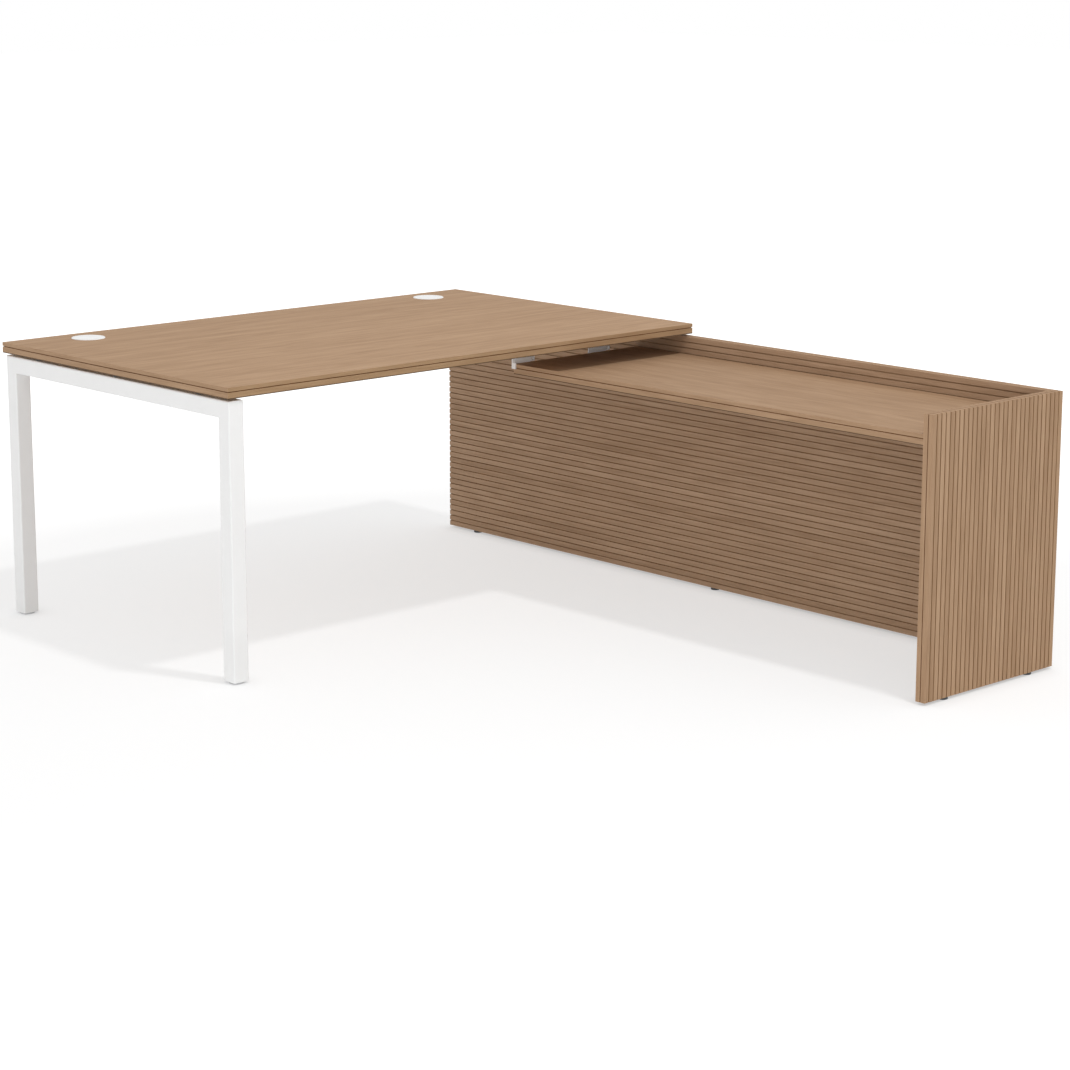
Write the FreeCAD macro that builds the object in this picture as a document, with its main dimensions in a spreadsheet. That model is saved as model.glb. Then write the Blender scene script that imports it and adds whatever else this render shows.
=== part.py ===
import FreeCAD, Part
import os
import Sketcher
from types import SimpleNamespace

# An office desk whose desktop stands on a steel leg frame at one end and on a slatted return at the other.
# X runs along the desktop, Y away from the user, Z up. Lengths are in millimetres.

SIZES = {
    # Desktop
    "desk_length": 1600,
    "desk_depth": 1000,
    "desk_height": 740,
    "desktop_thickness": 28,
    "desk_gap": 7,
    # Shadow groove round the edges of the boards
    "edge_groove_drop": 10,
    "edge_groove_width": 2,
    "edge_groove_depth": 3,
    # Cable grommets
    "grommet_from_left": 210,
    "grommet_from_right": 188,
    "grommet_from_rear": 92,
    "grommet_hole": 80,
    "grommet_flange": 90,
    "grommet_rim": 2,
    "grommet_edge": 1,
    "sleeve_length": 24,
    "sleeve_wall": 3.4,
    "cap_seat": 2.2,
    "cap_thickness": 2.5,
    "cap_skirt": 8,
    "cap_skirt_wall": 2,
    # Leg frame
    "tube": 45,
    "tube_wall": 2,
    "tube_radius": 4,
    "frame_inset": 6,
    "leg_floor_gap": 5,
    "plug_length": 25,
    "glide_diameter": 39,
    "frame_bolt_margin": 140,
    "frame_spacer": 30,
    "access_hole": 14,
    # Stretcher beams
    "beam_setback": 350,
    "beam_height": 40,
    "beam_width": 25,
    "beam_wall": 2,
    "beam_radius": 2.5,
    "beam_plate": 4,
    "beam_plate_width": 70,
    "beam_plate_hole": 8,
    # Return
    "return_run": 1250,
    "return_depth": 500,
    "return_clearance": 56,
    "return_thickness": 28,
    "return_lap": 199,
    "panel_thickness": 28,
    "panel_floor_gap": 7,
    "panel_proud": 8,
    "end_slats": 30,
    "back_slats": 42,
    "slat_groove": 3,
    "slat_groove_depth": 4,
    # Hanger brackets between the return top and the desktop
    "hanger_width": 66,
    "hanger_sheet": 4,
    "hanger_lap": 13,
    "hanger_flange": 40,
    "hanger_overhang": 4,
    "hanger_clearance": 122,
    "hanger_tab": 10,
    "hanger_tab_rise": 4,
    "hanger_ear": 16,
    "hanger_ear_height": 13,
    "hanger_ear_hole": 6.5,
    "hanger_ear_lift": 1,
    "hanger_flange_hole": 26,
    # Angle brackets
    "angle_leg": 40,
    "angle_width": 40,
    "angle_sheet": 3,
    "angle_hole": 24,
    "desk_bracket_margin": 220,
    "return_bracket_margin": 160,
    "end_bracket_margin": 110,
    "corner_bracket_height": 120,
    # Spacers on the back panel
    "panel_spacer_margin": 120,
    "panel_spacer_length": 60,
    "panel_spacer_setback": 2,
    # Bolts of the leg frame, and the screws that the steel parts are drilled for
    "screw_diameter": 4,
    "bolt_diameter": 6,
    "bolt_head": 11,
    "bolt_head_height": 4,
    "bolt_bite": 18,
    # Levelling feet
    "foot_diameter": 25,
    "stem_diameter": 8,
    "stem_length": 22,
    "foot_chamfer": 1,
    "insert_diameter": 14,
    "insert_length": 32,
    "end_foot_margin": 86,
    "back_foot_margin": 115,
    # Fits
    "hole_play": 0.5,
    "loose_fit": 0.2,
    "cap_fit": 0.3,
    "press_clearance": 0.05,
    "thread_fit": 0.06,
}


class Size:
    """A length that holds its number and the sheet expression that gives it."""

    def __init__(self, value, text):
        self.value = value
        self.text = text

    def joined(self, sign, other, value):
        return Size(value, "({} {} {})".format(self.text, sign, as_size(other).text))

    def __add__(self, other):
        return self.joined("+", other, self.value + as_size(other).value)

    def __sub__(self, other):
        return self.joined("-", other, self.value - as_size(other).value)

    def __mul__(self, other):
        return self.joined("*", other, self.value * as_size(other).value)

    def __truediv__(self, other):
        return self.joined("/", other, self.value / as_size(other).value)


def as_size(number):
    if isinstance(number, Size):
        return number
    return Size(number, str(number))


# The document, its sheet of sizes and the list of finished pieces
doc = FreeCAD.newDocument("l_shaped_desk")
sheet = doc.addObject("Spreadsheet::Sheet", "Sizes")
for row, (alias, number) in enumerate(SIZES.items(), start=1):
    sheet.set("A{}".format(row), alias)
    sheet.set("B{}".format(row), str(number))
    sheet.setAlias("B{}".format(row), alias)
doc.recompute()
size = SimpleNamespace(**{alias: Size(number, "Sizes." + alias) for alias, number in SIZES.items()})
pieces = []
ZERO = as_size(0)

# Levels and faces worked out from the sizes, with the desktop's near left corner at 0, 0
underside = size.desk_height - size.desktop_thickness
frame_top = underside - size.desk_gap
leg_length = frame_top - size.leg_floor_gap
rail_length = size.desk_depth - size.frame_inset * 2
rail_inner_x = size.frame_inset + size.tube
bore = size.tube - size.tube_wall * 2
panel_rear_x = size.desk_length + size.panel_proud
panel_inner_x = panel_rear_x - size.panel_thickness
panel_height = frame_top - size.panel_floor_gap
return_front_x = panel_rear_x - size.return_depth
return_height = underside - size.return_clearance
return_under = return_height - size.return_thickness
end_outer_y = ZERO - size.return_run
end_inner_y = end_outer_y + size.panel_thickness
back_end_y = size.desk_depth + size.panel_proud
back_length = back_end_y - end_inner_y
middle_x = panel_rear_x / 2
middle_y = (back_end_y + end_outer_y) / 2
screw_hole = size.screw_diameter + size.hole_play
bolt_hole = size.bolt_diameter + size.hole_play
stem_bore = size.stem_diameter + size.thread_fit * 2

PLANES = {"XY": "XY_Plane", "XZ": "XZ_Plane", "YZ": "YZ_Plane"}
ALONG_X = FreeCAD.Vector(1, 0, 0)
ALONG_Y = FreeCAD.Vector(0, 1, 0)
ALONG_Z = FreeCAD.Vector(0, 0, 1)


# Making and placing objects of the document

def bind(item, name, length):
    item.setExpression(name, as_size(length).text)


def place(item, x, y, z, turn=None):
    if turn:
        item.Placement = FreeCAD.Placement(FreeCAD.Vector(), turn)
    bind(item, "Placement.Base.x", as_size(x) - middle_x)
    bind(item, "Placement.Base.y", as_size(y) - middle_y)
    bind(item, "Placement.Base.z", z)


def new_body(label, alone=True):
    body = doc.addObject("PartDesign::Body", label)
    body.Label = label
    if alone:
        pieces.append(body)
    return body


def group(label, members):
    together = doc.addObject("Part::Compound", label)
    together.Label = label
    together.Links = members
    pieces.append(together)


def origin_feature(body, role):
    return next(part for part in body.Origin.OriginFeatures if part.Role == role)


# Sketches: every corner and centre is tied to the sheet

def sketch_on(body, plane, offset=None):
    sketch = body.newObject("Sketcher::SketchObject", body.Label + "_sketch")
    sketch.AttachmentSupport = (origin_feature(body, PLANES[plane]), [""])
    sketch.MapMode = "FlatFace"
    if offset:
        along_normal = ZERO - offset if plane == "XZ" else offset
        bind(sketch, "AttachmentOffset.Base.z", along_normal)
    return sketch


def pin_point(sketch, line, end, x, y):
    for kind, axis, distance in (("DistanceX", -2, as_size(x)), ("DistanceY", -1, as_size(y))):
        if distance.value == 0:
            sketch.addConstraint(Sketcher.Constraint("PointOnObject", line, end, axis))
            continue
        away = (-1, 1, line, end) if distance.value > 0 else (line, end, -1, 1)
        length = distance if distance.value > 0 else ZERO - distance
        rule = sketch.addConstraint(Sketcher.Constraint(kind, *away, length.value))
        bind(sketch, "Constraints[{}]".format(rule), length)


def outline(sketch, points):
    spots = [FreeCAD.Vector(as_size(x).value, as_size(y).value, 0) for x, y in points]
    lines = [
        sketch.addGeometry(Part.LineSegment(spot, spots[(index + 1) % len(spots)]))
        for index, spot in enumerate(spots)
    ]
    for index, line in enumerate(lines):
        following = lines[(index + 1) % len(lines)]
        sketch.addConstraint(Sketcher.Constraint("Coincident", line, 2, following, 1))
        pin_point(sketch, line, 1, *points[index])


def rectangle(sketch, x0, y0, x1, y1):
    outline(sketch, ((x0, y0), (x1, y0), (x1, y1), (x0, y1)))


def circle(sketch, x, y, diameter):
    centre = FreeCAD.Vector(as_size(x).value, as_size(y).value, 0)
    ring = sketch.addGeometry(Part.Circle(centre, ALONG_Z, diameter.value / 2))
    pin_point(sketch, ring, 3, x, y)
    rule = sketch.addConstraint(Sketcher.Constraint("Diameter", ring, diameter.value))
    bind(sketch, "Constraints[{}]".format(rule), diameter)


# Features: a cut is measured, so that one that misses the piece stops the build

def pad(body, sketch, length):
    feature = body.newObject("PartDesign::Pad", body.Label + "_pad")
    feature.Profile = sketch
    feature.Reversed = sketch.AttachmentSupport[0][0].Role == PLANES["XZ"]
    bind(feature, "Length", length)
    return feature


def pocket(body, sketch, depth=None):
    doc.recompute()
    before = body.Shape.Volume
    feature = body.newObject("PartDesign::Pocket", body.Label + "_pocket")
    feature.Profile = sketch
    feature.Reversed = sketch.AttachmentSupport[0][0].Role != PLANES["XZ"]
    if depth:
        bind(feature, "Length", depth)
    else:
        feature.Type = "ThroughAll"
    doc.recompute()
    if not body.Shape.Volume < before:
        raise ValueError(body.Label + ": a pocket cuts nothing")
    return feature


def revolve(body, points):
    sketch = sketch_on(body, "XZ")
    outline(sketch, points)
    feature = body.newObject("PartDesign::Revolution", body.Label + "_turned")
    feature.Profile = sketch
    feature.ReferenceAxis = (sketch, ["V_Axis"])
    feature.Angle = 360


def repeat(body, feature, role, copies, reach):
    pattern = body.newObject("PartDesign::LinearPattern", body.Label + "_pattern")
    pattern.Originals = [feature]
    pattern.Direction = (origin_feature(body, role), [""])
    bind(pattern, "Length", reach)
    bind(pattern, "Occurrences", copies)
    body.Tip = pattern


def soften(body, direction, radius):
    doc.recompute()
    base = body.Tip
    edges = [
        "Edge{}".format(number)
        for number, edge in enumerate(base.Shape.Edges, start=1)
        if edge.tangentAt(edge.FirstParameter).cross(direction).Length < 1e-6
    ]
    fillet = body.newObject("PartDesign::Fillet", body.Label + "_fillet")
    fillet.Base = (base, edges)
    bind(fillet, "Radius", radius)


# Boards

def flat_board(label, length, width, thickness):
    """A horizontal board in three layers: the middle one is set in and shows as the groove in the edge."""
    body = new_body(label)
    lower = thickness - size.edge_groove_drop - size.edge_groove_width
    layers = (
        (ZERO, lower, ZERO),
        (lower, size.edge_groove_width, size.edge_groove_depth),
        (lower + size.edge_groove_width, size.edge_groove_drop, ZERO),
    )
    for level, height, inset in layers:
        sketch = sketch_on(body, "XY", level)
        rectangle(sketch, inset, inset, length - inset, width - inset)
        pad(body, sketch, height)
    return body


def upright_panel(label, length, start_inset):
    """A standing board, outer face at local y 0, with the groove down its ends and along its top edge."""
    body = new_body(label)
    leaf = (size.panel_thickness - size.edge_groove_width) / 2
    depth = size.edge_groove_depth
    layers = (
        (ZERO, leaf, ZERO, length, panel_height),
        (leaf, size.edge_groove_width, start_inset, length - depth, panel_height - depth),
        (leaf + size.edge_groove_width, leaf, ZERO, length, panel_height),
    )
    for level, thickness, start, end, top in layers:
        sketch = sketch_on(body, "XZ", level)
        rectangle(sketch, start, ZERO, end, top)
        pad(body, sketch, thickness)
    return body


def slats(body, plane, role, span, count):
    """Cuts the grooves between slats into both faces of a panel, evenly over the span."""
    pitch = (span + size.slat_groove) / count
    start = pitch - size.slat_groove
    sketch = sketch_on(body, plane)
    for near in (ZERO, size.panel_thickness - size.slat_groove_depth):
        far = near + size.slat_groove_depth
        if plane == "XY":
            rectangle(sketch, start, near, pitch, far)
        else:
            rectangle(sketch, near, start, far, pitch)
    feature = pocket(body, sketch)
    repeat(body, feature, role, count - 1, pitch * (count - 2))


def foot_holes(body, places):
    sketch = sketch_on(body, "XY")
    for x in places:
        circle(sketch, x, size.panel_thickness / 2, size.insert_diameter)
    pocket(body, sketch, size.insert_length)


grommet_x = (size.grommet_from_left, size.desk_length - size.grommet_from_right)
grommet_y = size.desk_depth - size.grommet_from_rear
end_foot_x = (size.end_foot_margin, size.return_depth - size.end_foot_margin)
back_foot_x = (size.back_foot_margin, back_length / 2, back_length - size.back_foot_margin)

desktop = flat_board("desktop", size.desk_length, size.desk_depth, size.desktop_thickness)
place(desktop, ZERO, ZERO, underside)
holes = sketch_on(desktop, "XY")
for x in grommet_x:
    circle(holes, x, grommet_y, size.grommet_hole)
pocket(desktop, holes)

return_width = panel_inner_x - return_front_x
return_length = size.return_lap - end_inner_y
return_top = flat_board("return_top", return_width, return_length, size.return_thickness)
place(return_top, return_front_x, end_inner_y, return_under)

end_panel = upright_panel("end_panel", size.return_depth, size.edge_groove_depth)
place(end_panel, return_front_x, end_outer_y, size.panel_floor_gap)
slats(end_panel, "XY", "X_Axis", size.return_depth, size.end_slats)
foot_holes(end_panel, end_foot_x)

back_panel = upright_panel("back_panel", back_length, ZERO)
place(back_panel, panel_rear_x, end_inner_y, size.panel_floor_gap, FreeCAD.Rotation(ALONG_Z, 90))
slats(back_panel, "YZ", "Z_Axis", panel_height, size.back_slats)
foot_holes(back_panel, back_foot_x)


# Cable grommets: a flanged sleeve in the desktop and a lift-out cap in each sleeve

sleeve_outer = size.grommet_hole / 2 - size.loose_fit
sleeve_inner = sleeve_outer - size.sleeve_wall
seat_radius = sleeve_inner + size.cap_seat
rim_radius = size.grommet_flange / 2
rim_top = size.sleeve_length + size.grommet_rim
seat_level = rim_top - size.cap_thickness
cap_radius = seat_radius - size.cap_fit
skirt_outer = sleeve_inner - size.cap_fit
skirt_inner = skirt_outer - size.cap_skirt_wall
cap_top = size.cap_skirt + size.cap_thickness

for side, x in zip(("left", "right"), grommet_x):
    sleeve = new_body("grommet_sleeve_" + side)
    place(sleeve, x, grommet_y, size.desk_height - size.sleeve_length)
    revolve(sleeve, (
        (sleeve_inner, ZERO),
        (sleeve_outer, ZERO),
        (sleeve_outer, size.sleeve_length),
        (rim_radius, size.sleeve_length),
        (rim_radius, rim_top - size.grommet_edge),
        (rim_radius - size.grommet_edge, rim_top),
        (seat_radius, rim_top),
        (seat_radius, seat_level),
        (sleeve_inner, seat_level),
    ))
    cap = new_body("grommet_cap_" + side)
    place(cap, x, grommet_y, size.desk_height - size.sleeve_length + seat_level - size.cap_skirt)
    revolve(cap, (
        (skirt_inner, ZERO),
        (skirt_outer, ZERO),
        (skirt_outer, size.cap_skirt),
        (cap_radius, size.cap_skirt),
        (cap_radius, cap_top),
        (ZERO, cap_top),
        (ZERO, size.cap_skirt),
        (skirt_inner, size.cap_skirt),
    ))


# Leg frame: two legs and a rail of the same square tube, mitred at the two upper corners

def hollow(body, plane):
    sketch = sketch_on(body, plane)
    far = size.tube - size.tube_wall
    rectangle(sketch, size.tube_wall, size.tube_wall, far, far)
    pocket(body, sketch)


def leg_tube(label, y, outer_first):
    body = new_body(label)
    place(body, size.frame_inset, y, size.leg_floor_gap)
    near_top = leg_length if outer_first else leg_length - size.tube
    far_top = leg_length - size.tube if outer_first else leg_length
    sketch = sketch_on(body, "YZ")
    outline(sketch, ((ZERO, ZERO), (size.tube, ZERO), (size.tube, far_top), (ZERO, near_top)))
    pad(body, sketch, size.tube)
    soften(body, ALONG_Z, size.tube_radius)
    hollow(body, "XY")


near_leg_y = size.frame_inset
far_leg_y = size.desk_depth - size.frame_inset - size.tube
leg_tube("front_leg_tube", near_leg_y, True)
leg_tube("rear_leg_tube", far_leg_y, False)

frame_bolt_y = (size.frame_bolt_margin, rail_length / 2, rail_length - size.frame_bolt_margin)
rail = new_body("leg_rail_tube")
place(rail, size.frame_inset, size.frame_inset, frame_top - size.tube)
profile = sketch_on(rail, "YZ")
outline(profile, (
    (size.tube, ZERO),
    (rail_length - size.tube, ZERO),
    (rail_length, size.tube),
    (ZERO, size.tube),
))
pad(rail, profile, size.tube)
soften(rail, ALONG_Y, size.tube_radius)
hollow(rail, "XZ")
for diameter, depth in ((bolt_hole, None), (size.access_hole, size.tube / 2)):
    drilled = sketch_on(rail, "XY")
    for y in frame_bolt_y:
        circle(drilled, size.tube / 2, y, diameter)
    pocket(rail, drilled, depth)

rail_middle_x = size.frame_inset + size.tube / 2
bolt_level = frame_top - size.tube_wall - size.bolt_head_height
bolt_end = size.bolt_head_height + size.tube_wall + size.desk_gap + size.bolt_bite
spacers = []
bolts = []
for y in frame_bolt_y:
    spacer = new_body("frame_spacer", alone=False)
    place(spacer, rail_middle_x, size.frame_inset + y, frame_top)
    ring = sketch_on(spacer, "XY")
    circle(ring, ZERO, ZERO, size.frame_spacer)
    circle(ring, ZERO, ZERO, bolt_hole)
    pad(spacer, ring, size.desk_gap)
    spacers.append(spacer)
    bolt = new_body("frame_bolt", alone=False)
    place(bolt, rail_middle_x, size.frame_inset + y, bolt_level)
    revolve(bolt, (
        (ZERO, ZERO),
        (size.bolt_head / 2, ZERO),
        (size.bolt_head / 2, size.bolt_head_height),
        (size.bolt_diameter / 2, size.bolt_head_height),
        (size.bolt_diameter / 2, bolt_end),
        (ZERO, bolt_end),
    ))
    bolts.append(bolt)
group("frame_spacers", spacers)
group("frame_bolts", bolts)


# Stretcher beams under the desktop, from the leg rail to a plate on the back panel

beam_length = panel_inner_x - size.beam_plate - rail_inner_x
beam_bottom = frame_top - size.beam_height
plates = []
for name, y in (("front", size.beam_setback), ("rear", size.desk_depth - size.beam_setback)):
    beam = new_body(name + "_stretcher")
    place(beam, rail_inner_x, y - size.beam_width / 2, beam_bottom)
    profile = sketch_on(beam, "YZ")
    rectangle(profile, ZERO, ZERO, size.beam_width, size.beam_height)
    pad(beam, profile, beam_length)
    soften(beam, ALONG_X, size.beam_radius)
    inside = sketch_on(beam, "YZ")
    wall = size.beam_wall
    rectangle(inside, wall, wall, size.beam_width - wall, size.beam_height - wall)
    pocket(beam, inside)
    plate = new_body("stretcher_plate", alone=False)
    place(plate, panel_inner_x - size.beam_plate, y - size.beam_plate_width / 2, beam_bottom)
    face = sketch_on(plate, "YZ")
    rectangle(face, ZERO, ZERO, size.beam_plate_width, size.beam_height)
    for hole_y in (size.beam_plate_hole, size.beam_plate_width - size.beam_plate_hole):
        circle(face, hole_y, size.beam_height / 2, screw_hole)
    pad(plate, face, size.beam_plate)
    plates.append(plate)
group("stretcher_plates", plates)


# Hanger brackets: sheet steel on the end of the return top, with a flange under the desktop.
# The front one also wraps round the corner of the board.

hanger_bottom = return_height - size.hanger_lap
hanger_height = underside - hanger_bottom
hanger_front_x = return_front_x - size.hanger_overhang
hanger_hole_x = (size.hanger_width / 4, size.hanger_width * 3 / 4)
hanger_hole_z = size.hanger_lap - size.edge_groove_drop / 2
ear_bottom = size.hanger_lap + size.hanger_ear_lift
ear_top = ear_bottom + size.hanger_ear_height


def hanger(label, x, wraps):
    body = new_body(label)
    place(body, x, size.return_lap, hanger_bottom)
    web = sketch_on(body, "XZ")
    ear_end = size.hanger_width + size.hanger_ear
    outline(web, (
        (ZERO, ZERO),
        (size.hanger_width, ZERO),
        (size.hanger_width, ear_bottom),
        (ear_end, ear_bottom),
        (ear_end, ear_top),
        (size.hanger_width, ear_top),
        (size.hanger_width, hanger_height),
        (ZERO, hanger_height),
    ))
    circle(web, size.hanger_width + size.hanger_ear / 2, (ear_bottom + ear_top) / 2, size.hanger_ear_hole)
    for place_x in hanger_hole_x:
        circle(web, place_x, hanger_hole_z, screw_hole)
    pad(body, web, size.hanger_sheet)
    flange = sketch_on(body, "XY", hanger_height - size.hanger_sheet)
    rectangle(flange, ZERO, ZERO, size.hanger_width, size.hanger_flange)
    for place_x in hanger_hole_x:
        circle(flange, place_x, size.hanger_flange_hole, screw_hole)
    pad(body, flange, size.hanger_sheet)
    if wraps:
        tab = sketch_on(body, "YZ")
        rectangle(tab, ZERO - size.hanger_tab, ZERO, ZERO, size.hanger_lap + size.hanger_tab_rise)
        pad(body, tab, size.hanger_overhang)


hanger_x = (hanger_front_x, panel_inner_x - size.hanger_clearance - size.hanger_width)
hanger("front_hanger_bracket", hanger_x[0], True)
hanger("rear_hanger_bracket", hanger_x[1], False)


# Angle brackets: one leg on a wall at local x 0, the other under a board at local z angle_leg

half_angle = size.angle_width / 2
wall_hole_z = size.angle_leg - size.angle_hole


def angle_bracket(x, y, z, turn):
    body = new_body("angle_bracket", alone=False)
    sheet_edge = size.angle_leg - size.angle_sheet
    profile = sketch_on(body, "XZ")
    outline(profile, (
        (ZERO, ZERO),
        (size.angle_sheet, ZERO),
        (size.angle_sheet, sheet_edge),
        (size.angle_leg, sheet_edge),
        (size.angle_leg, size.angle_leg),
        (ZERO, size.angle_leg),
    ))
    pad(body, profile, size.angle_width)
    for plane, spot in (("XY", (size.angle_hole, half_angle)), ("YZ", (half_angle, wall_hole_z))):
        drilled = sketch_on(body, plane)
        circle(drilled, *spot, screw_hole)
        pocket(body, drilled)
    place(body, x, y, z, turn)
    return body


facing_left = FreeCAD.Rotation(ALONG_Z, 180)
facing_rear = FreeCAD.Rotation(ALONG_Z, 90)
desk_bracket_y = (
    size.desk_bracket_margin,
    size.desk_depth / 2,
    size.desk_depth - size.desk_bracket_margin,
)
return_bracket_y = (
    end_inner_y + size.return_bracket_margin,
    (end_inner_y + size.return_lap) / 2,
    size.return_lap - size.return_bracket_margin,
)
end_bracket_x = (return_front_x + size.end_bracket_margin, panel_inner_x - size.end_bracket_margin)
corner_turn = FreeCAD.Rotation(FreeCAD.Vector(0, 1, -1), 180)
corner_z = (size.corner_bracket_height, return_under - size.corner_bracket_height)

on_desk = [
    angle_bracket(panel_inner_x, y + half_angle, underside - size.angle_leg, facing_left)
    for y in desk_bracket_y
]
on_return = [
    angle_bracket(panel_inner_x, y + half_angle, return_under - size.angle_leg, facing_left)
    for y in return_bracket_y
]
on_end = [
    angle_bracket(x + half_angle, end_inner_y, return_under - size.angle_leg, facing_rear)
    for x in end_bracket_x
]
in_corner = [
    angle_bracket(panel_inner_x, end_inner_y + size.angle_leg, z + half_angle, corner_turn)
    for z in corner_z
]
group("desk_angle_brackets", on_desk)
group("return_rear_brackets", on_return)
group("return_end_brackets", on_end)
group("corner_brackets", in_corner)


# Spacers between the back panel's top edge and the desktop

edge_spacers = []
spacer_width = size.desk_length - panel_inner_x - size.panel_spacer_setback
for y in (size.panel_spacer_margin, size.desk_depth / 2, size.desk_depth - size.panel_spacer_margin):
    spacer = doc.addObject("Part::Box", "panel_spacer")
    bind(spacer, "Length", spacer_width)
    bind(spacer, "Width", size.panel_spacer_length)
    bind(spacer, "Height", size.desk_gap)
    place(spacer, panel_inner_x, y - size.panel_spacer_length / 2, frame_top)
    edge_spacers.append(spacer)
group("panel_spacers", edge_spacers)


# Levelling feet: a disc with a threaded stem, screwed into a plug in a leg or an insert in a panel

def levelling_foot(label, x, y, diameter, height):
    body = new_body(label)
    place(body, x, y, ZERO)
    radius = diameter / 2
    stem = size.stem_diameter / 2
    revolve(body, (
        (ZERO, ZERO),
        (radius - size.foot_chamfer, ZERO),
        (radius, size.foot_chamfer),
        (radius, height),
        (stem, height),
        (stem, height + size.stem_length),
        (ZERO, height + size.stem_length),
    ))


def threaded_insert(x, y):
    body = new_body("foot_insert", alone=False)
    place(body, x, y, size.panel_floor_gap)
    ring = sketch_on(body, "XY")
    circle(ring, ZERO, ZERO, size.insert_diameter - size.press_clearance * 2)
    circle(ring, ZERO, ZERO, stem_bore)
    pad(body, ring, size.insert_length)
    return body


plug_side = bore - size.press_clearance * 2
plug_start = size.tube_wall + size.press_clearance
leg_middle = size.tube / 2
for name, y in (("front", near_leg_y), ("rear", far_leg_y)):
    plug = new_body(name + "_leg_plug")
    place(plug, size.frame_inset + plug_start, y + plug_start, size.leg_floor_gap)
    block = sketch_on(plug, "XY")
    rectangle(block, ZERO, ZERO, plug_side, plug_side)
    circle(block, plug_side / 2, plug_side / 2, stem_bore)
    pad(plug, block, size.plug_length)
    glide_x = size.frame_inset + leg_middle
    levelling_foot(name + "_leg_glide", glide_x, y + leg_middle, size.glide_diameter, size.leg_floor_gap)

panel_middle = size.panel_thickness / 2
end_foot_spots = [(return_front_x + x, end_outer_y + panel_middle) for x in end_foot_x]
back_foot_spots = [(panel_rear_x - panel_middle, end_inner_y + x) for x in back_foot_x]
group("end_panel_inserts", [threaded_insert(*spot) for spot in end_foot_spots])
group("back_panel_inserts", [threaded_insert(*spot) for spot in back_foot_spots])
for name, spot in zip(("front", "rear"), end_foot_spots):
    levelling_foot("end_panel_foot_" + name, *spot, size.foot_diameter, size.panel_floor_gap)
for name, spot in zip(("near", "middle", "far"), back_foot_spots):
    levelling_foot("back_panel_foot_" + name, *spot, size.foot_diameter, size.panel_floor_gap)


# Checks, then one file per piece

doc.recompute()
for item in doc.Objects:
    if "Invalid" in item.State or "Error" in item.State:
        raise ValueError(item.Label + ": not built")
os.makedirs("parts", exist_ok=True)
for piece in pieces:
    if piece.Shape.isNull() or not piece.Shape.isValid():
        raise ValueError(piece.Label + ": no valid shape")
    piece.Shape.exportStep(os.path.join("parts", piece.Label + ".step"))
    print(piece.Label, len(piece.Shape.Solids), round(piece.Shape.Volume))
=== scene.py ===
import math

import bmesh
import bpy
from mathutils import Matrix, Vector


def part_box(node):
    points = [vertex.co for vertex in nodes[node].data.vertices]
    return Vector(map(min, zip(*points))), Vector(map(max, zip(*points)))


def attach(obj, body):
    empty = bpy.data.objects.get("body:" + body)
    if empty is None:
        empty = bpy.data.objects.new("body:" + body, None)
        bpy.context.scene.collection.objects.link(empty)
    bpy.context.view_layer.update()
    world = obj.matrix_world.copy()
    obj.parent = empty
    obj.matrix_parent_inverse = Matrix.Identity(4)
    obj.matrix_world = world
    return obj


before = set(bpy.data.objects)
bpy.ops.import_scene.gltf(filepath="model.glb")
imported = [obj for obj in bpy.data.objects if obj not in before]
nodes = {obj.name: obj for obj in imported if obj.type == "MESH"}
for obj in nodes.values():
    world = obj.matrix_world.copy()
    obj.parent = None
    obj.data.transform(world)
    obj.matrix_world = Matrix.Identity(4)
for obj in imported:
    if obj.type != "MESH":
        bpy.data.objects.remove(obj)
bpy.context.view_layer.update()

# Desktop: a 28 mm board faced with a brown wood decor, with the grain along its length, and a
# little painted light that makes it lighter than the other boards. Its edges are banded with the
# same decor; the long edges are darker with painted shade, a thin groove is routed all the way
# round and darkened with painted shade, and a thin line of painted shade runs along the lower
# arris of each edge. It is bolted to the leg frame and screwed to the return.
DECOR_DARK = (0.330, 0.200, 0.113)
DECOR_BODY = (0.425, 0.270, 0.162)
DECOR_LIGHT = (0.510, 0.335, 0.209)
# Painted light: the desktop's decor is a little lighter than the same decor on the other boards.
DESKTOP_PAINTED_LIGHT = (1.045, 1.05, 1.05)
SHORT_EDGE_TINT = (0.95, 0.96, 0.97)
# Painted shade: the long front and back edges are darker than the short ones.
LONG_EDGE_PAINTED_SHADE = (0.86, 0.86, 0.80)
# Painted shade: the routed edge grooves are a darker, warmer copy of the decor, for the shade inside
# them.
EDGE_GROOVE_PAINTED_SHADE = (0.55, 0.41, 0.28)
# Painted shade: a thin darker band at the bottom of each edge, standing in for the shaded lower arris.
PAINTED_ARRIS_SHADE_HEIGHT = 0.0026
PAINTED_ARRIS_SHADE_FADE = 0.0003
PAINTED_ARRIS_SHADE = 0.36
GRAIN_BANDS = {"along": 1.5, "across": 17.0, "swirl": 1.0, "weight": 0.8}
GRAIN_FLAMES = {"along": 4.6, "across": 58.0, "swirl": 1.3, "weight": 0.95}
GRAIN_STREAKS = {"along": 9.0, "across": 240.0, "swirl": 0.2, "weight": 0.75}
GRAIN_PORES = {"along": 34.0, "across": 900.0, "swirl": 0.0}
GRAIN_DETAIL = 3.0
MIDDLE_TONE = 0.5
FULL_RANGE = (0.0, 1.0)
PORE_RANGE = (0.56, 0.70)
PORE_WEIGHT = -0.16
PORE_DEPTH = -0.6
DECOR_ROUGH = (0.66, 0.82)
DECOR_RELIEF = 0.0004
DECOR_RELIEF_STRENGTH = 0.18
DECOR_GLOSS = 0.15
SLAT_TONE = 0.34
FACE_SKIN = 0.0003
WELD_REACH = 0.00001
SHARP_ANGLE = math.radians(40)
BOARD_ARRIS = 0.0004
ARRIS_STEPS = 2
AXES = X, Y, Z = range(3)


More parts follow.
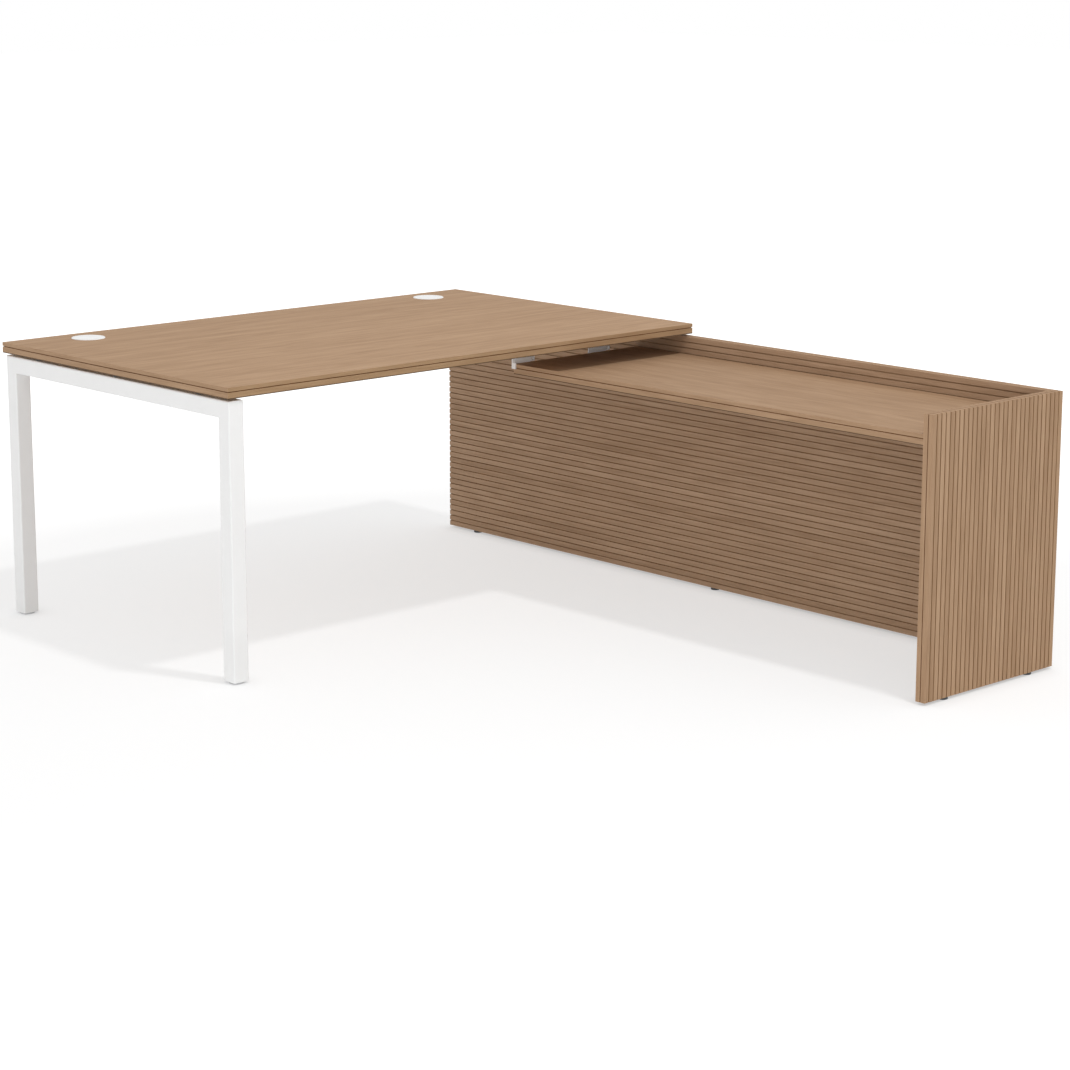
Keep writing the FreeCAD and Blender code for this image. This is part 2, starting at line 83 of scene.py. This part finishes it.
def add_node(tree, kind, values=None, **settings):
    node = tree.nodes.new(kind)
    for name, value in settings.items():
        setattr(node, name, value)
    for name, value in (values or {}).items():
        if isinstance(value, bpy.types.NodeSocket):
            tree.links.new(value, node.inputs[name])
        else:
            node.inputs[name].default_value = value
    return node


def sums(tree, operation, first, second, third=0.0):
    values = {0: first, 1: second, 2: third}
    return add_node(tree, "ShaderNodeMath", values, operation=operation).outputs[0]


def spread(tree, signal, source, result):
    values = {
        "Value": signal,
        "From Min": source[0],
        "From Max": source[1],
        "To Min": result[0],
        "To Max": result[1],
    }
    return add_node(tree, "ShaderNodeMapRange", values).outputs[0]


def colour_between(tree, signal, *colours):
    ramp = add_node(tree, "ShaderNodeValToRGB", {"Fac": signal})
    stops = ramp.color_ramp.elements
    for number in range(1, len(colours) - 1):
        stops.new(number / (len(colours) - 1))
    for stop, colour in zip(stops, colours):
        stop.color = (*(min(1.0, part) for part in colour), 1.0)
    return ramp.outputs["Color"]


def relief(tree, shader, height, strength, distance):
    values = {"Height": height, "Strength": strength, "Distance": distance}
    bump = add_node(tree, "ShaderNodeBump", values)
    tree.links.new(bump.outputs[0], shader.inputs["Normal"])


def new_finish(name):
    finish = bpy.data.materials.new(name)
    finish.use_nodes = True
    tree = finish.node_tree
    place = add_node(tree, "ShaderNodeTexCoord").outputs["Object"]
    return finish, tree, tree.nodes["Principled BSDF"], place


def shaded(colour, shade):
    return tuple(shade * part for part in colour)


def tinted(colour, tint):
    return tuple(share * part for share, part in zip(tint, colour))


def grain_noise(tree, place, grain, layer):
    scale = [layer["across"] for axis in AXES]
    scale[grain] = layer["along"]
    stretched = add_node(tree, "ShaderNodeMapping", {"Vector": place, "Scale": scale})
    values = {
        "Vector": stretched.outputs[0],
        "Scale": 1.0,
        "Detail": GRAIN_DETAIL,
        "Distortion": layer["swirl"],
    }
    return add_node(tree, "ShaderNodeTexNoise", values).outputs["Fac"]


# Paints shade as a darker band below the given height, along the lower arris of an edge.
def paint_arris_shade(tree, place, colour, rim):
    rise = add_node(tree, "ShaderNodeSeparateXYZ", {"Vector": place}).outputs[Z]
    border = (rim - PAINTED_ARRIS_SHADE_FADE, rim + PAINTED_ARRIS_SHADE_FADE)
    arris_shade = spread(tree, rise, border, (PAINTED_ARRIS_SHADE, 1.0))
    darkened = {0: colour, "Scale": arris_shade}
    return add_node(tree, "ShaderNodeVectorMath", darkened, operation="SCALE").outputs[0]


def wood_decor(name, grain, tint, slats=None, rim=None):
    finish, tree, shader, place = new_finish(name)
    level = MIDDLE_TONE
    if slats:
        axis, first, pitch = slats
        parts = add_node(tree, "ShaderNodeSeparateXYZ", {"Vector": place})
        steps = sums(tree, "MULTIPLY_ADD", parts.outputs[axis], 1.0 / pitch, -first / pitch)
        number = sums(tree, "FLOOR", steps, 0.0)
        chance = add_node(tree, "ShaderNodeTexWhiteNoise", {"W": number}, noise_dimensions="1D")
        moved = {0: place, 1: chance.outputs["Color"]}
        place = add_node(tree, "ShaderNodeVectorMath", moved, operation="ADD").outputs[0]
        level = sums(tree, "MULTIPLY_ADD", chance.outputs["Value"], SLAT_TONE, level - SLAT_TONE / 2)
    for layer in (GRAIN_BANDS, GRAIN_FLAMES, GRAIN_STREAKS):
        streaks = grain_noise(tree, place, grain, layer)
        swing = sums(tree, "MULTIPLY_ADD", streaks, layer["weight"], -layer["weight"] / 2)
        level = sums(tree, "ADD", swing, level)
    pores = spread(tree, grain_noise(tree, place, grain, GRAIN_PORES), PORE_RANGE, FULL_RANGE)
    level = sums(tree, "MULTIPLY_ADD", pores, PORE_WEIGHT, level)
    tones = [tinted(tone, tint) for tone in (DECOR_DARK, DECOR_BODY, DECOR_LIGHT)]
    colour = colour_between(tree, level, *tones)
    if rim:
        colour = paint_arris_shade(tree, place, colour, rim)
    tree.links.new(colour, shader.inputs["Base Color"])
    rough = spread(tree, streaks, FULL_RANGE, DECOR_ROUGH)
    tree.links.new(rough, shader.inputs["Roughness"])
    height = sums(tree, "MULTIPLY_ADD", pores, PORE_DEPTH, streaks)
    relief(tree, shader, height, DECOR_RELIEF_STRENGTH, DECOR_RELIEF)
    shader.inputs["Specular IOR Level"].default_value = DECOR_GLOSS
    return finish


def dress_board(name, side_x, side_y, side_z, groove):
    low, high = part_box(name)
    mesh = nodes[name].data
    mesh.materials.clear()
    sides = (side_x, side_y, side_z)
    finishes = list(dict.fromkeys((*sides, groove)))
    for finish in finishes:
        mesh.materials.append(finish)
    for face in mesh.polygons:
        axis = max(AXES, key=lambda number: abs(face.normal[number]))
        depth = min(face.center[axis] - low[axis], high[axis] - face.center[axis])
        finish = sides[axis] if depth < FACE_SKIN else groove
        face.material_index = finishes.index(finish)


def ease_edges(name, width):
    node = nodes[name]
    weld = node.modifiers.new("closed seams", "WELD")
    weld.merge_threshold = WELD_REACH
    arris = node.modifiers.new("eased edges", "BEVEL")
    arris.width = width
    arris.segments = ARRIS_STEPS
    arris.limit_method = "ANGLE"
    arris.angle_limit = SHARP_ANGLE
    shading = node.modifiers.new("even shading", "WEIGHTED_NORMAL")
    shading.keep_sharp = True


# Edge bands carry painted shade in a thin line along the board's lower arris.
def edge_band(board, grain, tint):
    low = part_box(board)[0]
    return wood_decor(f"{board} edge band {grain}", grain, tint, rim=low.z + PAINTED_ARRIS_SHADE_HEIGHT)


desk_decor = wood_decor("desktop decor", X, DESKTOP_PAINTED_LIGHT)
short_edge = edge_band("desktop", Y, SHORT_EDGE_TINT)
long_edge = edge_band("desktop", X, LONG_EDGE_PAINTED_SHADE)
painted_groove_shade = wood_decor("routed edge groove", X, EDGE_GROOVE_PAINTED_SHADE)
dress_board("desktop", short_edge, long_edge, desk_decor, painted_groove_shade)
ease_edges("desktop", BOARD_ARRIS)

# Cable grommets: two white fittings near the far edge of the desktop, moulded in plastic
# with a fine matt texture. A sleeve with a flange is pressed into the board, and a plain
# round cap drops into it and lifts out.
PLASTIC_WHITE = (0.93, 0.93, 0.925)
WHITE_PLASTIC_ROUGH = 0.45
MOULD_TEXTURE_SCALE = 1400.0
MOULD_CLOUD_SCALE = 45.0
MOULD_TONES = (0.94, 1.05)
MOULD_ROUGH_SWING = 0.08
MOULD_RELIEF = 0.0002
MOULD_RELIEF_STRENGTH = 0.12
FINE_DETAIL = 2.0


def fine_noise(tree, place, scale):
    values = {"Vector": place, "Scale": scale, "Detail": FINE_DETAIL}
    return add_node(tree, "ShaderNodeTexNoise", values).outputs["Fac"]


def moulded_plastic(name, colour, rough):
    finish, tree, shader, place = new_finish(name)
    cloud = fine_noise(tree, place, MOULD_CLOUD_SCALE)
    tones = [shaded(colour, tone) for tone in MOULD_TONES]
    tree.links.new(colour_between(tree, cloud, *tones), shader.inputs["Base Color"])
    swing = (rough - MOULD_ROUGH_SWING, rough + MOULD_ROUGH_SWING)
    tree.links.new(spread(tree, cloud, FULL_RANGE, swing), shader.inputs["Roughness"])
    texture = fine_noise(tree, place, MOULD_TEXTURE_SCALE)
    relief(tree, shader, texture, MOULD_RELIEF_STRENGTH, MOULD_RELIEF)
    return finish


def dress(finish, *names):
    for name in names:
        mesh = nodes[name].data
        mesh.materials.clear()
        mesh.materials.append(finish)


white_plastic = moulded_plastic("white moulded plastic", PLASTIC_WHITE, WHITE_PLASTIC_ROUGH)
for side in ("left", "right"):
    dress(white_plastic, f"grommet_sleeve_{side}", f"grommet_cap_{side}")

# Leg frame: two square steel tubes and a top rail under the left end of the desktop,
# mitred and welded at the corners, and powder coated white. The coat has a faint
# orange-peel surface.
COAT_WHITE = (0.875, 0.875, 0.87)
COAT_TONES = (0.965, 1.03)
COAT_CLOUD_SCALE = 12.0
COAT_PEEL_SCALE = 620.0
COAT_ROUGH = (0.46, 0.64)
COAT_RELIEF = 0.0003
COAT_RELIEF_STRENGTH = 0.1
COAT_GLOSS = 0.25


def powder_coat(name, colour):
    finish, tree, shader, place = new_finish(name)
    cloud = fine_noise(tree, place, COAT_CLOUD_SCALE)
    tones = [shaded(colour, tone) for tone in COAT_TONES]
    tree.links.new(colour_between(tree, cloud, *tones), shader.inputs["Base Color"])
    peel = fine_noise(tree, place, COAT_PEEL_SCALE)
    tree.links.new(spread(tree, peel, FULL_RANGE, COAT_ROUGH), shader.inputs["Roughness"])
    relief(tree, shader, peel, COAT_RELIEF_STRENGTH, COAT_RELIEF)
    shader.inputs["Specular IOR Level"].default_value = COAT_GLOSS
    return finish


white_coat = powder_coat("white powder coat", COAT_WHITE)
dress(white_coat, "front_leg_tube", "rear_leg_tube", "leg_rail_tube")

# Spacers and bolts of the leg frame: three dark plastic spacers hold the desktop off the
# rail and leave the dark gap that shows. Zinc-plated bolts go up through the rail and the
# spacers into the board.
PLASTIC_DARK = (0.055, 0.058, 0.062)
DARK_PLASTIC_ROUGH = 0.55
ZINC = (0.62, 0.63, 0.64)
ZINC_TONES = (0.9, 1.08)
ZINC_SPANGLE_SCALE = 160.0
ZINC_ROUGH = (0.30, 0.46)
THREAD_PITCH = 0.00125
THREAD_DEPTH = 0.0004
THREAD_STRENGTH = 0.8


def plated_zinc(name, threaded=False):
    finish, tree, shader, place = new_finish(name)
    values = {"Vector": place, "Scale": ZINC_SPANGLE_SCALE}
    spangle = add_node(tree, "ShaderNodeTexVoronoi", values).outputs["Color"]
    tint = add_node(tree, "ShaderNodeRGBToBW", {"Color": spangle}).outputs[0]
    tones = [shaded(ZINC, tone) for tone in ZINC_TONES]
    tree.links.new(colour_between(tree, tint, *tones), shader.inputs["Base Color"])
    tree.links.new(spread(tree, tint, FULL_RANGE, ZINC_ROUGH), shader.inputs["Roughness"])
    shader.inputs["Metallic"].default_value = 1.0
    if threaded:
        rise = add_node(tree, "ShaderNodeSeparateXYZ", {"Vector": place}).outputs[Z]
        turns = sums(tree, "MULTIPLY", rise, 2 * math.pi / THREAD_PITCH)
        relief(tree, shader, sums(tree, "SINE", turns, 0.0), THREAD_STRENGTH, THREAD_DEPTH)
    return finish


dark_plastic = moulded_plastic("dark moulded plastic", PLASTIC_DARK, DARK_PLASTIC_ROUGH)
zinc_plate = plated_zinc("zinc plate")
dress(dark_plastic, "frame_spacers")
dress(zinc_plate, "frame_bolts")

# Leg plugs and glides: a grey plastic plug closes the bottom of each leg tube, and a round
# grey glide screws into it to level the desk. The glide's stem is a plated thread.
PLASTIC_GREY = (0.58, 0.585, 0.59)
GREY_PLASTIC_ROUGH = 0.5
STEM_RADIUS = 0.0042
PAD_SOLE = 0.002


def dress_foot(name, pad_finish):
    low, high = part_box(name)
    axle = (low + high) / 2
    mesh = nodes[name].data
    mesh.materials.clear()
    mesh.materials.append(pad_finish)
    mesh.materials.append(threaded_zinc)
    for face in mesh.polygons:
        reach = math.hypot(face.center.x - axle.x, face.center.y - axle.y)
        on_stem = reach < STEM_RADIUS and face.center.z > low.z + PAD_SOLE
        face.material_index = int(on_stem)


grey_plastic = moulded_plastic("grey moulded plastic", PLASTIC_GREY, GREY_PLASTIC_ROUGH)
threaded_zinc = plated_zinc("threaded zinc", threaded=True)
dress(grey_plastic, "front_leg_plug", "rear_leg_plug")
dress_foot("front_leg_glide", grey_plastic)
dress_foot("rear_leg_glide", grey_plastic)

# Stretchers: two white coated steel tubes under the desktop, from the leg rail to the back
# panel. Each ends in a plated steel plate that is screwed to the panel.
PLATE_ARRIS = 0.0004
dress(white_coat, "front_stretcher", "rear_stretcher")
dress(zinc_plate, "stretcher_plates")
ease_edges("stretcher_plates", PLATE_ARRIS)

# Return top: the lower board of the return, in the same decor as the desktop but a little darker
# with painted shade, with the grain along the return and the same groove, darkened with painted
# shade, routed round its edge, and the same line of painted shade along its lower arris. It is
# held by angle brackets on the two panels.
# Painted shade: the return's decor is darker than the desktop's, for the shade it sits in.
RETURN_PAINTED_SHADE = (0.92, 0.92, 0.92)
RETURN_EDGE_TINT = (0.95, 0.95, 0.95)
return_decor = wood_decor("return decor", Y, RETURN_PAINTED_SHADE)
return_front = edge_band("return_top", Y, RETURN_EDGE_TINT)
return_end = edge_band("return_top", X, RETURN_EDGE_TINT)
dress_board("return_top", return_front, return_end, return_decor, painted_groove_shade)
ease_edges("return_top", BOARD_ARRIS)

# Slatted panels: two 28 mm boards in the same decor, with narrow grooves routed into both
# faces so that they read as rows of slats. The slat grooves are darkened with painted shade, the
# groove along their narrow edges with deeper painted shade, and the back panel's slats carry a
# little painted light. The end panel's slats stand upright, the back panel's lie level.
END_SLATS = 30
BACK_SLATS = 42
SLAT_GROOVE = 0.003
END_SLAT_TINT = (0.98, 0.99, 1.0)
# Painted shade: the slat grooves are darker, warmer copies of the decor, for the shade inside them.
END_GROOVE_PAINTED_SHADE = (0.86, 0.80, 0.66)
# Painted light: the back panel's slats are tinted lighter and cooler, against the warm shade they stand
# in.
BACK_SLAT_PAINTED_LIGHT = (0.985, 1.03, 1.11)
BACK_GROOVE_PAINTED_SHADE = (0.80, 0.76, 0.68)
PANEL_EDGE_TINT = (0.95, 0.95, 0.95)
SLAT_ARRIS = 0.0005
EDGE_GROOVE_HALF = 0.002


def slat_rows(name, axis, count):
    low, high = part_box(name)
    pitch = (high[axis] - low[axis] + SLAT_GROOVE) / count
    return axis, low[axis] - SLAT_GROOVE / 2, pitch


# The groove in a panel's narrow edges gets the painted groove shade.
def paint_edge_groove_shade(name, thickness):
    low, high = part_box(name)
    middle = (low[thickness] + high[thickness]) / 2
    mesh = nodes[name].data
    slat_groove = len(mesh.materials) - 1
    mesh.materials.append(painted_groove_shade)
    for face in mesh.polygons:
        near_middle = abs(face.center[thickness] - middle) < EDGE_GROOVE_HALF
        if near_middle and face.material_index == slat_groove:
            face.material_index = slat_groove + 1


upright_edge = wood_decor("upright panel edge", Z, PANEL_EDGE_TINT)
end_top_edge = wood_decor("end panel top edge", X, PANEL_EDGE_TINT)
back_top_edge = wood_decor("back panel top edge", Y, PANEL_EDGE_TINT)
end_slats = wood_decor("upright slats", Z, END_SLAT_TINT, slats=slat_rows("end_panel", X, END_SLATS))
back_slats = wood_decor("level slats", Y, BACK_SLAT_PAINTED_LIGHT, slats=slat_rows("back_panel", Z, BACK_SLATS))
end_groove_shade = wood_decor("upright slat groove", Z, END_GROOVE_PAINTED_SHADE)
back_groove_shade = wood_decor("level slat groove", Y, BACK_GROOVE_PAINTED_SHADE)
dress_board("end_panel", upright_edge, end_slats, end_top_edge, end_groove_shade)
dress_board("back_panel", back_slats, upright_edge, back_top_edge, back_groove_shade)
paint_edge_groove_shade("end_panel", Y)
paint_edge_groove_shade("back_panel", X)
ease_edges("end_panel", SLAT_ARRIS)
ease_edges("back_panel", SLAT_ARRIS)

# Hanger brackets: two bent pieces of steel sheet, coated white, that carry the desktop on
# the far end of the return top. Each has an ear with a hole at its side, and the front one
# wraps round the corner of the board.
HANGERS = ("front_hanger_bracket", "rear_hanger_bracket")
HANGER_ARRIS = 0.0005
FLAT_ANGLE = math.radians(0.5)


# Plane faces become whole before the easing, so that it stays even round the screw holes
def join_flats(name):
    flats = nodes[name].modifiers.new("joined flats", "DECIMATE")
    flats.decimate_type = "DISSOLVE"
    flats.angle_limit = FLAT_ANGLE


for name in HANGERS:
    dress(white_coat, name)
    join_flats(name)
    ease_edges(name, HANGER_ARRIS)

# Angle brackets: bent and plated steel angles in the inner corners. They fasten the back
# panel to the desktop and to the return top, the end panel to the return top, and the two
# panels to each other.
for name in ("desk_angle_brackets", "return_rear_brackets", "return_end_brackets", "corner_brackets"):
    dress(zinc_plate, name)
    ease_edges(name, PLATE_ARRIS)

# Wood screws: plated steel pan heads with a cross recess, one through each hole of the
# angle brackets, the stretcher plates and the hanger brackets. Only the heads show.
HEAD_RADIUS = 0.004
HEAD_HEIGHT = 0.0022
HEAD_STEPS = 20
HEAD_PROFILE = ((1.0, 0.0), (1.0, 0.45), (0.92, 0.78), (0.76, 1.0))
RECESS_REACH = 0.0022
RECESS_HALF = 0.00045
RECESS_DEPTH = 0.0012
RECESS_TAPER = 0.7
RECESS_ARMS = 4
HEAD_TWIST = 0.7
ANGLE_HOLE = 0.024
ANGLE_SHEET = 0.003
PLATE_HOLE_REACH = 0.027
HANGER_WIDTH = 0.066
HANGER_FLANGE = 0.040
HANGER_SHEET = 0.004
HANGER_FLANGE_HOLE = 0.026
HANGER_HOLE_RISE = 0.008
HANGER_HOLE_SHARES = (0.25, 0.75)


def ring_pairs(ring):
    return list(zip(ring, ring[1:] + ring[:1]))


def screw_head():
    head = bmesh.new()
    rings = []
    for share, level in HEAD_PROFILE:
        ring = []
        for step in range(HEAD_STEPS):
            spoke = Matrix.Rotation(2 * math.pi * step / HEAD_STEPS, 3, "Z")
            ring.append(head.verts.new(spoke @ Vector((share * HEAD_RADIUS, 0.0, level * HEAD_HEIGHT))))
        rings.append(ring)
    for lower, upper in zip(rings, rings[1:]):
        for (start, after), (above, beside) in zip(ring_pairs(lower), ring_pairs(upper)):
            head.faces.new((start, after, beside, above))
    head.faces.new(list(reversed(rings[0])))
    corners = ((RECESS_HALF, -RECESS_HALF), (RECESS_REACH, -RECESS_HALF), (RECESS_REACH, RECESS_HALF))
    mouth = []
    bottom = []
    for arm in range(RECESS_ARMS):
        turn = Matrix.Rotation(2 * math.pi * arm / RECESS_ARMS, 3, "Z")
        for x, y in corners:
            mouth.append(head.verts.new(turn @ Vector((x, y, HEAD_HEIGHT))))
            deep = Vector((RECESS_TAPER * x, RECESS_TAPER * y, HEAD_HEIGHT - RECESS_DEPTH))
            bottom.append(head.verts.new(turn @ deep))
    for (start, after), (below, beside) in zip(ring_pairs(mouth), ring_pairs(bottom)):
        head.faces.new((start, below, beside, after))
    head.faces.new(bottom)
    rim = [head.edges.get(pair) for pair in ring_pairs(mouth) + ring_pairs(rings[-1])]
    bmesh.ops.triangle_fill(head, edges=rim, use_beauty=True)
    bmesh.ops.recalc_face_normals(head, faces=head.faces)
    mesh = bpy.data.meshes.new("screw head")
    head.to_mesh(mesh)
    head.free()
    return mesh


pan_head = screw_head()


def drive_screws(name, spots):
    joined = bmesh.new()
    for number, (spot, facing) in enumerate(spots):
        head = pan_head.copy()
        aim = Vector(facing).to_track_quat("Z", "Y").to_matrix().to_4x4()
        twist = Matrix.Rotation(HEAD_TWIST * number, 4, "Z")
        head.transform(Matrix.Translation(spot) @ aim @ twist)
        joined.from_mesh(head)
        bpy.data.meshes.remove(head)
    mesh = bpy.data.meshes.new(name)
    joined.to_mesh(mesh)
    joined.free()
    mesh.materials.append(zinc_plate)
    screws = bpy.data.objects.new(name, mesh)
    bpy.context.scene.collection.objects.link(screws)
    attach(screws, "desk")


def separate_pieces(name):
    shell = bmesh.new()
    shell.from_mesh(nodes[name].data)
    bmesh.ops.remove_doubles(shell, verts=shell.verts, dist=WELD_REACH)
    waiting = set(shell.verts)
    boxes = []
    while waiting:
        reached = [waiting.pop()]
        for vertex in reached:
            for edge in vertex.link_edges:
                other = edge.other_vert(vertex)
                if other in waiting:
                    waiting.remove(other)
                    reached.append(other)
        low = Vector([min(vertex.co[axis] for vertex in reached) for axis in AXES])
        high = Vector([max(vertex.co[axis] for vertex in reached) for axis in AXES])
        boxes.append((low, high, (low + high) / 2))
    shell.free()
    return sorted(boxes, key=lambda box: tuple(box[2]))


DOWN, LEFT, BACK = (0, 0, -1), (-1, 0, 0), (0, 1, 0)

back_spots = []
for name in ("desk_angle_brackets", "return_rear_brackets"):
    for low, high, middle in separate_pieces(name):
        back_spots.append(((high.x - ANGLE_HOLE, middle.y, high.z - ANGLE_SHEET), DOWN))
        back_spots.append(((high.x - ANGLE_SHEET, middle.y, high.z - ANGLE_HOLE), LEFT))
drive_screws("back_bracket_screws", back_spots)

end_spots = []
for low, high, middle in separate_pieces("return_end_brackets"):
    end_spots.append(((middle.x, low.y + ANGLE_HOLE, high.z - ANGLE_SHEET), DOWN))
    end_spots.append(((middle.x, low.y + ANGLE_SHEET, high.z - ANGLE_HOLE), BACK))
drive_screws("end_bracket_screws", end_spots)

corner_spots = []
for low, high, middle in separate_pieces("corner_brackets"):
    corner_spots.append(((high.x - ANGLE_SHEET, low.y + ANGLE_HOLE, middle.z), LEFT))
    corner_spots.append(((high.x - ANGLE_HOLE, low.y + ANGLE_SHEET, middle.z), BACK))
drive_screws("corner_bracket_screws", corner_spots)

plate_spots = []
for low, high, middle in separate_pieces("stretcher_plates"):
    for reach in (-PLATE_HOLE_REACH, PLATE_HOLE_REACH):
        plate_spots.append(((low.x, middle.y + reach, middle.z), LEFT))
drive_screws("stretcher_plate_screws", plate_spots)

hanger_spots = []
for name in HANGERS:
    low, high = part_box(name)
    web = high.y - HANGER_FLANGE
    for share in HANGER_HOLE_SHARES:
        across = low.x + share * HANGER_WIDTH
        hanger_spots.append(((across, web + HANGER_FLANGE_HOLE, high.z - HANGER_SHEET), DOWN))
        hanger_spots.append(((across, web + HANGER_SHEET, low.z + HANGER_HOLE_RISE), BACK))
drive_screws("hanger_screws", hanger_spots)

# Panel feet and spacers: dark plastic levelling feet on plated threads screw into plated
# inserts in the panels' lower edges. Dark plastic spacers lie between the back panel's top
# edge and the desktop.
for name in nodes:
    if name.startswith(("end_panel_foot", "back_panel_foot")):
        dress_foot(name, dark_plastic)
dress(dark_plastic, "panel_spacers")
dress(zinc_plate, "end_panel_inserts", "back_panel_inserts")

# Studio floor: a wide pale floor that looks white and keeps the soft shadow of the desk.
# Near the desk it glows a little less, so that the shadow shows, and a painted contact shadow
# dims its glow most where a panel or a leg almost touches it.
FLOOR_HALF = 30.0
FLOOR_WHITE = 0.95
GLOW_NEAR = 0.62
GLOW_FAR = 1.0
GLOW_REACH = (1.8, 3.4)
SHADOW_WEIGHT = 0.425
# Painted contact shadow: ambient occlusion dims the floor's glow close to the desk's feet and panels.
PAINTED_CONTACT_SHADOW_REACH = 0.06
PAINTED_CONTACT_SHADOW_DEPTH = 0.36
PAINTED_CONTACT_SHADOW_SAMPLES = 8


def seen_directly(tree):
    path = add_node(tree, "ShaderNodeLightPath").outputs
    straight = sums(tree, "MAXIMUM", path["Is Camera Ray"], path["Is Glossy Ray"])
    return sums(tree, "MAXIMUM", straight, path["Is Transmission Ray"])


def plain_diffuse(tree, white):
    return add_node(tree, "ShaderNodeBsdfDiffuse", {"Color": (white, white, white, 1.0)}).outputs[0]


floor_corners = [(x, y, 0.0) for x, y in ((-1, -1), (1, -1), (1, 1), (-1, 1))]
floor_mesh = bpy.data.meshes.new("studio floor")
floor_mesh.from_pydata(floor_corners, [], [(0, 1, 2, 3)])
floor_mesh.transform(Matrix.Scale(FLOOR_HALF, 4))
floor = bpy.data.objects.new("studio_floor", floor_mesh)
bpy.context.scene.collection.objects.link(floor)
floor_finish = bpy.data.materials.new("pale floor")
floor_finish.use_nodes = True
floor_tree = floor_finish.node_tree
floor_tree.nodes.clear()
spot = add_node(floor_tree, "ShaderNodeTexCoord").outputs["Object"]
reach = add_node(floor_tree, "ShaderNodeVectorMath", {0: spot}, operation="LENGTH").outputs["Value"]
wide_glow = spread(floor_tree, reach, GLOW_REACH, (GLOW_NEAR, GLOW_FAR))
near_by = {"Distance": PAINTED_CONTACT_SHADOW_REACH}
contact_shadow_look = add_node(floor_tree, "ShaderNodeAmbientOcclusion", near_by, samples=PAINTED_CONTACT_SHADOW_SAMPLES)
painted_contact_shadow = spread(floor_tree, contact_shadow_look.outputs["AO"], FULL_RANGE, (1.0 - PAINTED_CONTACT_SHADOW_DEPTH, 1.0))
glow = sums(floor_tree, "MULTIPLY", wide_glow, painted_contact_shadow)
white_glow = add_node(floor_tree, "ShaderNodeEmission", {"Strength": glow}).outputs[0]
shadow_catch = plain_diffuse(floor_tree, SHADOW_WEIGHT)
seen_floor = add_node(floor_tree, "ShaderNodeAddShader", {0: white_glow, 1: shadow_catch}).outputs[0]
floor_mix = {0: seen_directly(floor_tree), 1: plain_diffuse(floor_tree, FLOOR_WHITE), 2: seen_floor}
mixed_floor = add_node(floor_tree, "ShaderNodeMixShader", floor_mix).outputs[0]
add_node(floor_tree, "ShaderNodeOutputMaterial", {"Surface": mixed_floor})
floor_mesh.materials.append(floor_finish)

# Studio light: one small soft lamp high in front, a wide low one at the left, and even
# white light from all round, a little stronger from the sides than from above.
KEY_PLACE = (0.124, -2.156, 6.023)
KEY_AIM = (0.0, 0.0, 0.3)
KEY_SIZE = (0.45, 0.45)
KEY_POWER = 120.0
FILL_PLACE = (-6.2, -3.3, 0.42)
FILL_AIM = (0.3, 0.0, 0.35)
FILL_SIZE = (4.0, 0.6)
FILL_POWER = 65.0
WALL_LEVEL = 1.15
CEILING_LEVEL = 0.4
BACKDROP_LEVEL = 1.0


def hang_lamp(name, power, place, aim, shape, size):
    lamp = bpy.data.lights.new(name, "AREA")
    lamp.energy = power
    lamp.shape = shape
    lamp.size, lamp.size_y = size
    holder = bpy.data.objects.new(name, lamp)
    holder.location = place
    holder.rotation_euler = (Vector(aim) - Vector(place)).to_track_quat("-Z", "Y").to_euler()
    holder.visible_glossy = False
    bpy.context.scene.collection.objects.link(holder)


hang_lamp("key_lamp", KEY_POWER, KEY_PLACE, KEY_AIM, "ELLIPSE", KEY_SIZE)
hang_lamp("fill_lamp", FILL_POWER, FILL_PLACE, FILL_AIM, "RECTANGLE", FILL_SIZE)
studio = bpy.data.worlds.new("white studio")
studio.use_nodes = True
bpy.context.scene.world = studio
studio_tree = studio.node_tree
studio_tree.nodes.clear()
heading = add_node(studio_tree, "ShaderNodeTexCoord").outputs["Generated"]
rise = add_node(studio_tree, "ShaderNodeSeparateXYZ", {"Vector": heading}).outputs[Z]
level = spread(studio_tree, rise, FULL_RANGE, (WALL_LEVEL, CEILING_LEVEL))
white = (1.0, 1.0, 1.0, 1.0)
room = add_node(studio_tree, "ShaderNodeBackground", {"Color": white, "Strength": level}).outputs[0]
backdrop_values = {"Color": white, "Strength": BACKDROP_LEVEL}
backdrop = add_node(studio_tree, "ShaderNodeBackground", backdrop_values).outputs[0]
room_mix = {0: seen_directly(studio_tree), 1: room, 2: backdrop}
mixed_room = add_node(studio_tree, "ShaderNodeMixShader", room_mix).outputs[0]
add_node(studio_tree, "ShaderNodeOutputWorld", {"Surface": mixed_room})

# Camera: a long lens at the front left, a little above the desktop, framed as in the
# photograph, with a slight shift of the lens.
CAMERA_PLACE = (-4.6077, -5.0525, 1.8137)
CAMERA_TURN = math.radians(42.546)
CAMERA_DIP = math.radians(11.524)
CAMERA_LENS = 91.1
CAMERA_FILM = 36.0
CAMERA_SHIFT = (0.015, -0.05)
lens = bpy.data.cameras.new("camera")
lens.sensor_width = CAMERA_FILM
lens.lens = CAMERA_LENS
lens.shift_x, lens.shift_y = CAMERA_SHIFT
camera = bpy.data.objects.new("camera", lens)
camera.location = CAMERA_PLACE
camera.rotation_euler = (math.pi / 2 - CAMERA_DIP, 0.0, -CAMERA_TURN)
bpy.context.scene.collection.objects.link(camera)
bpy.context.scene.camera = camera
bpy.context.scene.view_settings.view_transform = "Standard"
